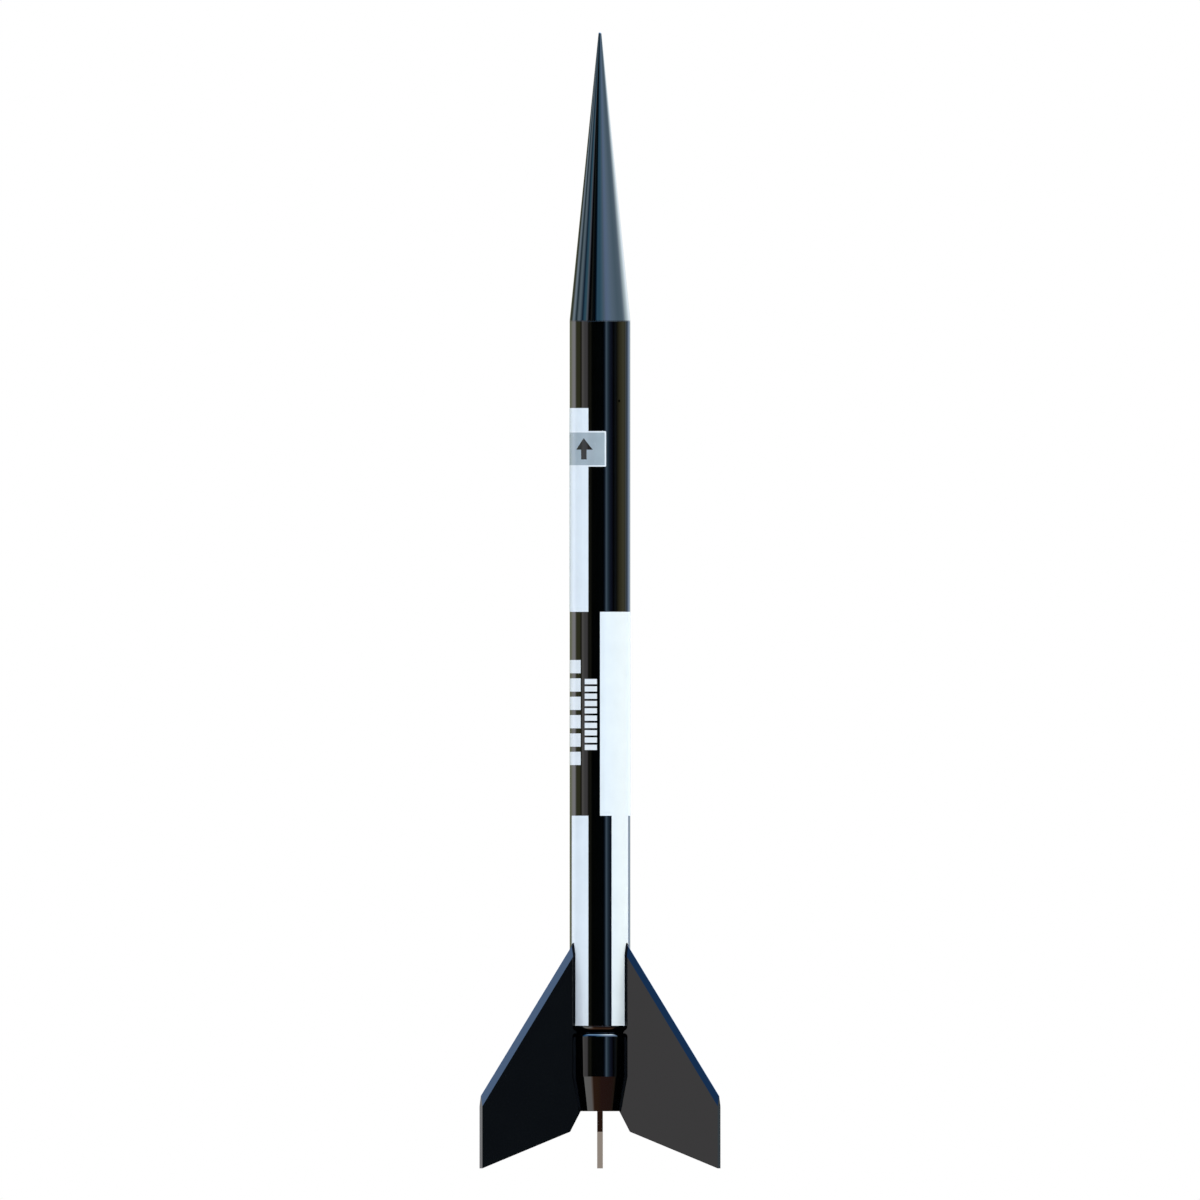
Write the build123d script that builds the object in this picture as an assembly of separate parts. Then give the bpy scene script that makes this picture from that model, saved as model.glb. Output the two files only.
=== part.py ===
from build123d import *
import math
import os

# A flying model rocket, standing nose up. Millimetres and degrees.
# The origin is on the long axis at the aft end of the boat tail, where the motor goes in, and +Z points
# to the nose. A bearing is the angle about the long axis, counted from the front (-Y) towards +X.

# Body tube
TUBE_RADIUS = 17.0
TUBE_WALL = 0.53
TUBE_BOTTOM = 47.9
TUBE_TOP = 442.5
VENT_RADIUS = 0.7
VENT_HEIGHT = 397.8
VENT_BEARING = 39.3

# Nose
NOSE_TIP = 604.2
NOSE_TIP_RADIUS = 0.89
NOSE_LIP = 0.3
NOSE_WALL = 1.2
NOSE_SHOULDER_LENGTH = 30.0
NOSE_SHOULDER_RADIUS = 16.32
NOSE_HOLLOW_TOP = 590.0
NOSE_HOLLOW_TOP_RADIUS = 1.0
PLUG_THICKNESS = 3.5
EYELET_HOLE_RADIUS = 2.6
EYELET_RADIUS = 4.2
EYELET_THICKNESS = 3.0
WEIGHT_BOTTOM = 548.0
WEIGHT_TOP = 580.0

# Tail cone
BOAT_TAIL_END_RADIUS = 13.4
BOAT_TAIL_TOP = 19.4
NECK_RADIUS = 14.9
NECK_BOTTOM = 43.7
NECK_TOP = 45.9
TAIL_BORE_RADIUS = 13.75
TAIL_GRIP_HEIGHT = 6.0
TAIL_SHOULDER_TOP = 59.7
TAIL_SHOULDER_RADIUS = 16.42

# Fins, as radius and height in the plane of each fin
FIN_BEARINGS = {"fin_right": 60.0, "fin_left": -60.0, "fin_rear": 180.0}
FIN_THICKNESS = 3.175
FIN_APEX_HEIGHT = 94.3
FIN_SPAN_RADIUS = 77.0
FIN_TIP_TOP = 8.6
FIN_TIP_BOTTOM = -32.0
FIN_KINK_RADIUS = 20.2
FIN_KINK_HEIGHT = -11.5
FIN_BEVEL_WIDTH = 3.3
FIN_EDGE_THICKNESS = 0.3
TAB_BOTTOM = 26.0
TAB_TOP = 60.0
SLOT_CLEARANCE = 0.06

# Motor mount
MOTOR_TUBE_BORE_RADIUS = 12.05
MOTOR_TUBE_RADIUS = 12.4
MOTOR_TUBE_LENGTH = 64.0
THRUST_RING_BORE_RADIUS = 9.5
THRUST_RING_LENGTH = 5.0
FORWARD_RING_BOTTOM = 60.5
AFT_RING_BOTTOM = 20.0
AFT_RING_LENGTH = 5.0
GLUE_GAP = 0.05

# Launch lugs
LUG_BORE_RADIUS = 2.5
LUG_RADIUS = 2.9
LUG_LENGTH = 25.4
LUG_BEARING = 150.0
LUG_BOTTOMS = {"launch_lug_aft": 100.0, "launch_lug_forward": 290.0}

# White areas and decals, which are thin skins on the tube
SKIN = 0.1
STRIPES_TOP = 165.5
MIDDLE_BAND_TOP = 279.7
UPPER_BAND_TOP = 393.8
STRIPE_ANGLE = 45.0
UPPER_BAND_EDGE = -22.5
EMBLEM_BOTTOM = 361.0
EMBLEM_TOP = 380.9
EMBLEM_BEARINGS = (-101.5, 11.5)
LARGE_BAR_COUNT = 6
LARGE_BARS_BOTTOM = 193.9
LARGE_BARS_TOP = 252.7
LARGE_BAR_BEARINGS = (-80.0, -39.5)
SMALL_BAR_COUNT = 10
SMALL_BARS_BOTTOM = 202.3
SMALL_BARS_TOP = 242.1
SMALL_BAR_BEARINGS = (-30.0, -5.7)
BAR_FILL = 0.72

# Recovery gear
ANCHOR_LAYERS = 3
ANCHOR_LAYER_THICKNESS = 0.38
ANCHOR_BOTTOM = 370.0
ANCHOR_TOP = 402.0
ANCHOR_HALF_ANGLE = 30.0
ANCHOR_STEP = 1.5
ANCHOR_STEP_ANGLE = 3.0
WADDING_RADIUS = 15.8
WADDING_BOTTOM = 70.5
WADDING_TOP = 98.0
WADDING_ROUND = 5.0
PARACHUTE_RADIUS = 13.0
PARACHUTE_BOTTOM = 98.5
PARACHUTE_TOP = 183.5
PARACHUTE_ROUND = 3.0

# How far a cutting shape reaches past what it cuts
OVERSHOOT = 3.0

# Sizes that follow from the ones above
TUBE_BORE_RADIUS = TUBE_RADIUS - TUBE_WALL
SKIN_RADIUS = TUBE_RADIUS + SKIN
NOSE_SHOULDER_BOTTOM = TUBE_TOP - NOSE_SHOULDER_LENGTH
NOSE_SHOULDER_BORE_RADIUS = NOSE_SHOULDER_RADIUS - NOSE_WALL
THRUST_RING_TOP = MOTOR_TUBE_LENGTH + THRUST_RING_LENGTH
SLOT_WIDTH = FIN_THICKNESS + 2 * SLOT_CLEARANCE
FIN_SLOPE = (FIN_TIP_TOP - FIN_APEX_HEIGHT) / (FIN_SPAN_RADIUS - TUBE_RADIUS)


def on_bearing(bearing):
    """The turn that takes something on the +X axis to a bearing."""
    return Rot(0, 0, bearing - 90)


def turned(*edges):
    """A solid of revolution from edges that close an outline in the XZ plane."""
    return revolve(make_face(Curve() + list(edges)), axis=Axis.Z)


def turned_outline(*points):
    """A solid of revolution from the corners of its outline, each a radius and a height."""
    return turned(Polyline(*[(radius, 0, height) for radius, height in points], close=True))


def sleeve(bore_radius, radius, bottom, top):
    """A round tube or ring on the long axis."""
    return Pos(0, 0, bottom) * extrude(Circle(radius) - Circle(bore_radius), amount=top - bottom)


def wrap(inner, outer, bearings, bottom, top):
    """A curved patch about the long axis, between two bearings and two heights."""
    section = Plane.XZ * Pos((inner + outer) / 2, (bottom + top) / 2) * Rectangle(outer - inner, top - bottom)
    return on_bearing(bearings[0]) * revolve(section, axis=Axis.Z, revolution_arc=bearings[1] - bearings[0])


def skin(bearings, bottom, top):
    """A patch of paint film or decal on the tube."""
    return wrap(TUBE_RADIUS, SKIN_RADIUS, bearings, bottom, top)


def radial_slab(bearing, width, inner, outer, bottom, top):
    """A block that reaches outwards from the long axis."""
    block = Box(outer - inner, width, top - bottom, align=(Align.MIN, Align.CENTER, Align.MIN))
    return on_bearing(bearing) * Pos(inner, 0, bottom) * block


def fin_slots(width, bottom, top):
    """The three cuts that the fins or their tabs pass through."""
    slabs = [
        radial_slab(bearing, width, NECK_RADIUS - OVERSHOOT, SKIN_RADIUS + OVERSHOOT, bottom, top)
        for bearing in FIN_BEARINGS.values()
    ]
    return Part() + slabs


def make_body_tube():
    """The paper tube, slotted at its aft end for the fin tabs and vented under the nose."""
    tube = sleeve(TUBE_BORE_RADIUS, TUBE_RADIUS, TUBE_BOTTOM, TUBE_TOP)
    drill = Pos(TUBE_RADIUS, 0, VENT_HEIGHT) * Rot(0, 90, 0) * Cylinder(VENT_RADIUS, OVERSHOOT)
    slots = fin_slots(SLOT_WIDTH, TUBE_BOTTOM - 1, TAB_TOP + SLOT_CLEARANCE)
    return tube - on_bearing(VENT_BEARING) * drill - slots


def nose_taper():
    """Where the nose's straight side meets its rounded tip, as a radius, a height and the slope's angle."""
    centre_height = NOSE_TIP - NOSE_TIP_RADIUS
    rise = centre_height - TUBE_TOP - NOSE_LIP
    reach = math.hypot(rise, TUBE_RADIUS)
    angle = math.atan2(TUBE_RADIUS, rise) - math.asin(NOSE_TIP_RADIUS / reach)
    radius = NOSE_TIP_RADIUS * math.cos(angle)
    height = centre_height + NOSE_TIP_RADIUS * math.sin(angle)
    return radius, height, angle


def nose_bore_radius(height):
    """The radius of the hollow in the nose's cone at a height."""
    outer = TUBE_RADIUS - (height - TUBE_TOP - NOSE_LIP) * math.tan(nose_taper()[2])
    return outer - NOSE_WALL / math.cos(nose_taper()[2])


def make_nose_cone():
    """The moulded nose: a hollow cone, a short lip, and a shoulder that slides into the tube."""
    radius, height, angle = nose_taper()
    centre_height = NOSE_TIP - NOSE_TIP_RADIUS
    middle = (math.pi / 2 + angle) / 2
    on_round = (NOSE_TIP_RADIUS * math.cos(middle), 0, centre_height + NOSE_TIP_RADIUS * math.sin(middle))
    tip = ThreePointArc((radius, 0, height), on_round, (0, 0, NOSE_TIP))
    narrowing = (nose_bore_radius(TUBE_TOP) - NOSE_SHOULDER_BORE_RADIUS) / math.tan(angle)
    side = Polyline(
        (0, 0, NOSE_TIP),
        (0, 0, NOSE_HOLLOW_TOP),
        (NOSE_HOLLOW_TOP_RADIUS, 0, NOSE_HOLLOW_TOP),
        (NOSE_SHOULDER_BORE_RADIUS, 0, TUBE_TOP + narrowing),
        (NOSE_SHOULDER_BORE_RADIUS, 0, NOSE_SHOULDER_BOTTOM),
        (NOSE_SHOULDER_RADIUS, 0, NOSE_SHOULDER_BOTTOM),
        (NOSE_SHOULDER_RADIUS, 0, TUBE_TOP),
        (TUBE_RADIUS, 0, TUBE_TOP),
        (TUBE_RADIUS, 0, TUBE_TOP + NOSE_LIP),
        (radius, 0, height),
    )
    return turned(tip, side)


def make_nose_base_plug():
    """The disc that closes the nose's shoulder, with the eyelet that the shock cord ties to."""
    disc_radius = NOSE_SHOULDER_BORE_RADIUS - GLUE_GAP
    disc = Pos(0, 0, NOSE_SHOULDER_BOTTOM) * extrude(Circle(disc_radius), amount=PLUG_THICKNESS)
    eye_height = NOSE_SHOULDER_BOTTOM - EYELET_RADIUS
    web = Pos(0, EYELET_RADIUS / 2) * Rectangle(2 * EYELET_RADIUS, EYELET_RADIUS)
    eye = Circle(EYELET_RADIUS) + web - Circle(EYELET_HOLE_RADIUS)
    upright = Plane(origin=(0, 0, eye_height), x_dir=(1, 0, 0), z_dir=(0, -1, 0))
    return disc + extrude(upright * eye, amount=EYELET_THICKNESS / 2, both=True)


def make_nose_weight():
    """The lump of clay pressed up into the nose."""
    return turned_outline(
        (0, WEIGHT_BOTTOM),
        (nose_bore_radius(WEIGHT_BOTTOM) - GLUE_GAP, WEIGHT_BOTTOM),
        (nose_bore_radius(WEIGHT_TOP) - GLUE_GAP, WEIGHT_TOP),
        (0, WEIGHT_TOP),
    )


def make_tail_cone():
    """The turned end piece: a shoulder in the tube, a groove, a plain length and the boat tail."""
    round_radius = TUBE_RADIUS - NECK_RADIUS
    round_bottom = NECK_BOTTOM - round_radius
    diagonal = round_radius * math.sqrt(0.5)
    rounded = ThreePointArc(
        (TUBE_RADIUS, 0, round_bottom),
        (NECK_RADIUS + diagonal, 0, round_bottom + diagonal),
        (NECK_RADIUS, 0, NECK_BOTTOM),
    )
    grip_radius = MOTOR_TUBE_RADIUS + GLUE_GAP
    rest = Polyline(
        (NECK_RADIUS, 0, NECK_BOTTOM),
        (NECK_RADIUS, 0, NECK_TOP),
        (TUBE_RADIUS, 0, TUBE_BOTTOM),
        (TAIL_SHOULDER_RADIUS, 0, TUBE_BOTTOM),
        (TAIL_SHOULDER_RADIUS, 0, TAIL_SHOULDER_TOP),
        (TAIL_BORE_RADIUS, 0, TAIL_SHOULDER_TOP),
        (TAIL_BORE_RADIUS, 0, TAIL_GRIP_HEIGHT + TAIL_BORE_RADIUS - grip_radius),
        (grip_radius, 0, TAIL_GRIP_HEIGHT),
        (grip_radius, 0, 0),
        (BOAT_TAIL_END_RADIUS, 0, 0),
        (TUBE_RADIUS, 0, BOAT_TAIL_TOP),
        (TUBE_RADIUS, 0, round_bottom),
    )
    return turned(rounded, rest) - fin_slots(SLOT_WIDTH, TAB_BOTTOM - SLOT_CLEARANCE, TAIL_SHOULDER_TOP + 1)


def bevel_cutter(side):
    """What planing takes off one face of a fin along its leading edge."""
    length = math.hypot(FIN_SPAN_RADIUS - TUBE_RADIUS, FIN_APEX_HEIGHT - FIN_TIP_TOP)
    along = Vector(FIN_SPAN_RADIUS - TUBE_RADIUS, 0, FIN_TIP_TOP - FIN_APEX_HEIGHT) / length
    outward = Vector(-along.Z, 0, along.X)
    start = Vector(TUBE_RADIUS, 0, FIN_APEX_HEIGHT) - along * 3 * OVERSHOOT
    edge = Plane(origin=start, x_dir=outward, z_dir=along)
    half, thin = FIN_THICKNESS / 2, FIN_EDGE_THICKNESS / 2
    fall = (half - thin) / FIN_BEVEL_WIDTH
    corners = Polyline(
        (-FIN_BEVEL_WIDTH, side * half),
        (1, side * (thin - fall)),
        (1, side * (half + 1)),
        (-FIN_BEVEL_WIDTH, side * (half + 1)),
        close=True,
    )
    return extrude(edge * make_face(corners), amount=length + 6 * OVERSHOOT)


def airframe_envelope():
    """The outside of the tube and the boat tail, filled in, which shapes the fins' roots."""
    return turned_outline(
        (0, 0),
        (BOAT_TAIL_END_RADIUS, 0),
        (TUBE_RADIUS, BOAT_TAIL_TOP),
        (TUBE_RADIUS, FIN_APEX_HEIGHT + 30),
        (0, FIN_APEX_HEIGHT + 30),
    )


def make_fin():
    """One fin along +X: a bevelled blade, and the tab that goes through the tube to the motor tube."""
    inside = MOTOR_TUBE_RADIUS
    outline = Polyline(
        (inside, 0, FIN_APEX_HEIGHT + (inside - TUBE_RADIUS) * FIN_SLOPE),
        (FIN_SPAN_RADIUS, 0, FIN_TIP_TOP),
        (FIN_SPAN_RADIUS, 0, FIN_TIP_BOTTOM),
        (FIN_KINK_RADIUS, 0, FIN_KINK_HEIGHT),
        (BOAT_TAIL_END_RADIUS, 0, 0),
        (inside, 0, 0),
        close=True,
    )
    blade = extrude(make_face(outline), amount=FIN_THICKNESS / 2, both=True)
    blade = blade - bevel_cutter(1) - bevel_cutter(-1) - airframe_envelope()
    tab = Pos(inside, 0, TAB_BOTTOM) * Box(
        TUBE_RADIUS + 1 - inside,
        FIN_THICKNESS,
        TAB_TOP - TAB_BOTTOM,
        align=(Align.MIN, Align.CENTER, Align.MIN),
    )
    motor_tube_space = extrude(Circle(MOTOR_TUBE_RADIUS + GLUE_GAP), amount=TAB_TOP)
    return blade + (tab - motor_tube_space)


def make_launch_lug(bottom):
    """A short straw on the side of the tube, which slides on the launch rod."""
    axis_radius = SKIN_RADIUS + LUG_RADIUS
    return on_bearing(LUG_BEARING) * Pos(axis_radius, 0, 0) * sleeve(
        LUG_BORE_RADIUS, LUG_RADIUS, bottom, bottom + LUG_LENGTH
    )


def make_stripes(fin):
    """Four white stripes at the aft end of the tube, which stop at the fins."""
    starts = [STRIPE_ANGLE / 2 + STRIPE_ANGLE * step for step in (0, 2, 4, 6)]
    stripes = [skin((start, start + STRIPE_ANGLE), TUBE_BOTTOM, STRIPES_TOP) for start in starts]
    return Part() + stripes - [on_bearing(bearing) * fin for bearing in FIN_BEARINGS.values()]


def make_bars(count, bearings, bottom, top):
    """A ladder of equal bars between two heights."""
    pitch = (top - bottom) / (count - 1 + BAR_FILL)
    starts = [bottom + pitch * step for step in range(count)]
    return [skin(bearings, start, start + pitch * BAR_FILL) for start in starts]


def make_shock_cord_mount():
    """A folded paper anchor glued inside the tube, each fold a little smaller than the one under it."""
    layers = []
    for layer in range(ANCHOR_LAYERS):
        outer = TUBE_BORE_RADIUS - GLUE_GAP - layer * ANCHOR_LAYER_THICKNESS
        half_angle = ANCHOR_HALF_ANGLE - ANCHOR_STEP_ANGLE * layer
        bearings = (180 - half_angle, 180 + half_angle)
        step = ANCHOR_STEP * layer
        inner = outer - ANCHOR_LAYER_THICKNESS
        layers.append(wrap(inner, outer, bearings, ANCHOR_BOTTOM + step, ANCHOR_TOP - step))
    return Part() + layers


def bundle(radius, bottom, top, round_radius):
    """A soft roll that lies in the tube."""
    roll = Pos(0, 0, bottom) * extrude(Circle(radius), amount=top - bottom)
    return fillet(roll.edges().filter_by(GeomType.CIRCLE), radius=round_radius)


emblem = skin(EMBLEM_BEARINGS, EMBLEM_BOTTOM, EMBLEM_TOP)
upper_band = skin((UPPER_BAND_EDGE - 180, UPPER_BAND_EDGE), MIDDLE_BAND_TOP, UPPER_BAND_TOP)
large_bars = make_bars(LARGE_BAR_COUNT, LARGE_BAR_BEARINGS, LARGE_BARS_BOTTOM, LARGE_BARS_TOP)
small_bars = make_bars(SMALL_BAR_COUNT, SMALL_BAR_BEARINGS, SMALL_BARS_BOTTOM, SMALL_BARS_TOP)
fin = make_fin()

nodes = {
    "body_tube": make_body_tube(),
    "tail_cone": make_tail_cone(),
    "motor_tube": sleeve(MOTOR_TUBE_BORE_RADIUS, MOTOR_TUBE_RADIUS, 0, MOTOR_TUBE_LENGTH),
    "thrust_ring": sleeve(THRUST_RING_BORE_RADIUS, MOTOR_TUBE_RADIUS, MOTOR_TUBE_LENGTH, THRUST_RING_TOP),
    "forward_centering_ring": sleeve(
        MOTOR_TUBE_RADIUS + GLUE_GAP, TUBE_BORE_RADIUS - GLUE_GAP, FORWARD_RING_BOTTOM, THRUST_RING_TOP
    ),
    "aft_centering_ring": sleeve(
        MOTOR_TUBE_RADIUS + GLUE_GAP,
        TAIL_BORE_RADIUS - GLUE_GAP,
        AFT_RING_BOTTOM,
        AFT_RING_BOTTOM + AFT_RING_LENGTH,
    ),
    "white_band_upper": upper_band - emblem,
    "white_band_middle": skin((0, 180), STRIPES_TOP, MIDDLE_BAND_TOP),
    "white_stripes_lower": make_stripes(fin),
    "emblem_decal": emblem,
    "marking_decal": Part() + large_bars + small_bars,
    "shock_cord_mount": make_shock_cord_mount(),
    "wadding": bundle(WADDING_RADIUS, WADDING_BOTTOM, WADDING_TOP, WADDING_ROUND),
    "parachute": bundle(PARACHUTE_RADIUS, PARACHUTE_BOTTOM, PARACHUTE_TOP, PARACHUTE_ROUND),
    "nose_cone": make_nose_cone(),
    "nose_base_plug": make_nose_base_plug(),
    "nose_weight": make_nose_weight(),
}
nodes.update({name: on_bearing(bearing) * fin for name, bearing in FIN_BEARINGS.items()})
nodes.update({name: make_launch_lug(bottom) for name, bottom in LUG_BOTTOMS.items()})

os.makedirs("parts", exist_ok=True)
for name, shape in nodes.items():
    export_step(shape, f"parts/{name}.step")
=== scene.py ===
import bmesh
import bpy
import math

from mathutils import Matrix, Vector, noise


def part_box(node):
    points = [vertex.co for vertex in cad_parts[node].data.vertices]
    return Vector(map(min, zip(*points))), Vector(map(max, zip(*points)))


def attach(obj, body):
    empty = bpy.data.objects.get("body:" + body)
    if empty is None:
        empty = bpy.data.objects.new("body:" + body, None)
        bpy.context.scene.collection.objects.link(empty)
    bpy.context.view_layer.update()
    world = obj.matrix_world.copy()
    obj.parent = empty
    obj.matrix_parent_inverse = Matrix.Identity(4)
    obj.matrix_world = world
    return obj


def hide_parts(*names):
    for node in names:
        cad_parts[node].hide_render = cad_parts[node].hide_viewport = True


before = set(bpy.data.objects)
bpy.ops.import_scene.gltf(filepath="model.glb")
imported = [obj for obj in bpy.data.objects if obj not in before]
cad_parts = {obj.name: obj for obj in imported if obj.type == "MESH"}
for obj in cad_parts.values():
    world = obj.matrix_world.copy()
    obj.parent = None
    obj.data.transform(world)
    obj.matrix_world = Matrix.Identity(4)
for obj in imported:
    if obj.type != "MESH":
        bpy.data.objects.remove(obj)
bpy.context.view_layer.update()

# A flying model rocket, nose up. Mesh code works in millimetres and degrees in the frame's own axes, and
# make_mesh turns it into metres. A bearing is an angle about the long axis, from the front (-Y) towards +X.

MM = 0.001
SEGMENTS = 192
EDGE_ROUND = 0.12
CUTTER_REACH = 3.0

# Sizes of the CAD model that its boxes don't tell
TUBE_WALL = 0.53
NECK_RADIUS = 14.9
NECK_BOTTOM = 43.7
NECK_TOP = 45.9
BOAT_TAIL_END_RADIUS = 13.4
BOAT_TAIL_TOP = 19.4
TAIL_BORE_RADIUS = 13.75
TAIL_GRIP_RADIUS = 12.45
TAIL_GRIP_HEIGHT = 6.0
TAIL_SHOULDER_RADIUS = 16.42
FIN_BEARINGS = (60.0, -60.0, 180.0)
FIN_THICKNESS = 3.175
FIN_EDGE_THICKNESS = 0.3
FIN_BEVEL_DROP = 6.0
FIN_TAB_BOTTOM = 26.0
FIN_TAB_TOP = 60.0
SLOT_CLEARANCE = 0.06
NOSE_LIP = 0.3
NOSE_WALL = 1.2
NOSE_TIP_RADIUS = 0.89
NOSE_SHOULDER_RADIUS = 16.32
NOSE_HOLLOW_TOP = 590.0
NOSE_HOLLOW_TOP_RADIUS = 1.0
VENT_RADIUS = 0.7
VENT_HEIGHT = 397.8
VENT_BEARING = 39.3
LUG_BEARING = 150.0
LUG_RADIUS = 2.9
EMBLEM_BEARINGS = (-101.5, 11.5)

# What the turned tail has and the CAD leaves plain: a deeper groove, and a lip over it with a round corner
NECK_UNDERCUT = 0.5
NECK_FLARE = 0.6
LIP_BOTTOM = NECK_TOP - 0.4
LIP_INSET = 0.1
LIP_CHAMFER = 0.9
LIP_ROUND = 2.9
JOINT_GROOVE = 0.25
SHOULDER_STEP = 0.05

# Glue fillets, as how far each reaches over the two things that it joins
ROOT_FILLET_ON_FIN = 1.4
ROOT_FILLET_ON_TUBE = 0.4
ROOT_FILLET_END_SHARE = 0.45
ROOT_FILLET_WAVER = 0.06
ROOT_FILLET_DEPTH = 0.1
LUG_FILLET_ON_LUG_ANGLE = 50.0
LUG_FILLET_ON_TUBE = 2.4
LUG_FILLET_CORNER = 0.9
LUG_FILLET_LIFT = 0.05
LUG_FILLET_DEPTH = 0.08
FILLET_END_GAP = 0.4
TAIL_FILLET_TOP_GAP = 2.0
SIDES = ((1, "a"), (-1, "b"))


def mm_box(node):
    """The lowest and highest corners of a CAD node, in millimetres."""
    low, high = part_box(node)
    return low / MM, high / MM


TUBE_RADIUS = mm_box("body_tube")[1].x
TUBE_BOTTOM = mm_box("body_tube")[0].z
TUBE_TOP = mm_box("body_tube")[1].z
TAIL_SHOULDER_TOP = mm_box("tail_cone")[1].z
NOSE_TIP = mm_box("nose_cone")[1].z
NOSE_SHOULDER_BOTTOM = mm_box("nose_cone")[0].z
FIN_APEX = mm_box("fin_rear")[1].z
FLOOR_LEVEL = mm_box("fin_rear")[0].z
SKIN_RADIUS = mm_box("white_band_middle")[1].x


# ---------------------------------------------------------------- meshes


def make_mesh(name, points, faces, normals=None):
    """A smooth-shaded object from points in millimetres, with a normal for each point if they are given."""
    mesh = bpy.data.meshes.new(name)
    mesh.from_pydata([Vector(p) * MM for p in points], [], faces)
    mesh.polygons.foreach_set("use_smooth", [True] * len(mesh.polygons))
    if normals:
        mesh.normals_split_custom_set_from_vertices([Vector(n).normalized() for n in normals])
    piece = bpy.data.objects.new(name, mesh)
    bpy.context.scene.collection.objects.link(piece)
    return piece


def finish_piece(piece, body, material, replaces=()):
    """Gives a piece its body and its material, and hides the CAD nodes that it stands in for."""
    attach(piece, body)
    if replaces:
        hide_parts(*replaces)
    piece.data.materials.clear()
    piece.data.materials.append(material)


def at_bearing(radius, bearing, height):
    """The point at a distance from the long axis, on a bearing, at a height."""
    angle = math.radians(bearing)
    return Vector((radius * math.sin(angle), -radius * math.cos(angle), height))


def arc(centre, radius, start, end, steps):
    """Points and normals of a convex arc in an outline, between two angles counted from outwards to up."""
    made = []
    for step in range(steps + 1):
        angle = math.radians(start + (end - start) * step / steps)
        normal = Vector((math.cos(angle), math.sin(angle)))
        made.append((Vector(centre) + normal * radius, normal))
    return made


def rounded(corners, closed=True, steps=5):
    """Points and normals of an outline with its corners rounded. A corner is (radius, height, rounding),
    and the outline is walked with the material on its left."""
    made = []
    count = len(corners)
    for i, (r, z, rounding) in enumerate(corners):
        here = Vector((r, z))
        before = Vector(corners[i - 1][:2]) if closed or i else None
        after = Vector(corners[(i + 1) % count][:2]) if closed or i < count - 1 else None
        into = (here - before).normalized() if before else None
        out = (after - here).normalized() if after else None
        if into is None or out is None:
            way = out or into
            made.append((here, Vector((way.y, -way.x))))
            continue
        turn = math.atan2(into.x * out.y - into.y * out.x, into.dot(out))
        reach = rounding * math.tan(abs(turn) / 2)
        side = 1 if turn > 0 else -1
        first = Vector((into.y, -into.x))
        centre = here - into * reach - first * rounding * side
        for step in range(steps + 1):
            bend = turn * step / steps
            normal = Vector((
                first.x * math.cos(bend) - first.y * math.sin(bend),
                first.x * math.sin(bend) + first.y * math.cos(bend),
            ))
            made.append((centre + normal * rounding * side, normal))
    return made


def lathe(name, outline, closed=True):
    """Turns an outline of (point, normal) pairs about the long axis."""
    points, normals, rings = [], [], []
    for (r, z), (nr, nz) in outline:
        if r < 1e-6:
            rings.append([len(points)])
            points.append((0, 0, z))
            normals.append((0, 0, nz))
            continue
        ring = []
        for step in range(SEGMENTS):
            bearing = 360 * step / SEGMENTS
            ring.append(len(points))
            points.append(at_bearing(r, bearing, z))
            normals.append(at_bearing(nr, bearing, nz))
        rings.append(ring)
    faces = []
    pairs = list(zip(rings, rings[1:])) + ([(rings[-1], rings[0])] if closed else [])
    for low, high in pairs:
        for step in range(SEGMENTS):
            after = (step + 1) % SEGMENTS
            if len(low) == 1:
                faces.append((low[0], high[after], high[step]))
            elif len(high) == 1:
                faces.append((low[step], low[after], high[0]))
            else:
                faces.append((low[step], low[after], high[after], high[step]))
    return make_mesh(name, points, faces, normals)


def outline_normal(outline, closed, r, z):
    """The normal of the outline at its nearest place to a point."""
    best, found = 1e9, None
    pairs = list(zip(outline, outline[1:])) + ([(outline[-1], outline[0])] if closed else [])
    for (a, na), (b, nb) in pairs:
        along = b - a
        share = 0.0
        if along.length_squared > 0:
            share = min(1.0, max(0.0, (Vector((r, z)) - a).dot(along) / along.length_squared))
        away = (a + along * share - Vector((r, z))).length_squared
        if away < best:
            best, found = away, na.lerp(nb, share)
    return found.normalized()


def cut(piece, cutters, outline, closed=True):
    """Cuts the cutters out of a turned piece, then gives its round faces their true normals back."""
    for cutter in cutters:
        modifier = piece.modifiers.new("cut", "BOOLEAN")
        modifier.operation = "DIFFERENCE"
        modifier.solver = "EXACT"
        modifier.object = cutter
    evaluated = piece.evaluated_get(bpy.context.evaluated_depsgraph_get())
    mesh = bpy.data.meshes.new_from_object(evaluated)
    piece.modifiers.clear()
    piece.data = mesh
    for cutter in cutters:
        bpy.data.objects.remove(cutter)
    known = {}
    loop_normals = [Vector((0, 0, 1))] * len(mesh.loops)
    for face in mesh.polygons:
        flat = face.normal.copy()
        for loop in face.loop_indices:
            vertex = mesh.loops[loop].vertex_index
            if vertex not in known:
                x, y, z = mesh.vertices[vertex].co / MM
                bearing = math.degrees(math.atan2(x, -y))
                nr, nz = outline_normal(outline, closed, math.hypot(x, y), z)
                known[vertex] = at_bearing(nr, bearing, nz)
            loop_normals[loop] = known[vertex] if known[vertex].dot(flat) > 0.8 else flat
    mesh.polygons.foreach_set("use_smooth", [True] * len(mesh.polygons))
    mesh.normals_split_custom_set(loop_normals)
    return piece


def slab_cutter(bearing, width, inner, outer, bottom, top):
    """A block that reaches outwards on a bearing, to cut a slot with."""
    corners = []
    for height in (bottom, top):
        for radius, side in ((inner, -1), (outer, -1), (outer, 1), (inner, 1)):
            sideways = at_bearing(width / 2 * side, bearing + 90, 0)
            corners.append(at_bearing(radius, bearing, height) + sideways)
    sides = [(i, (i + 1) % 4, 4 + (i + 1) % 4, 4 + i) for i in range(4)]
    return make_mesh("cutter", corners, [(3, 2, 1, 0), (4, 5, 6, 7)] + sides)


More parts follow.
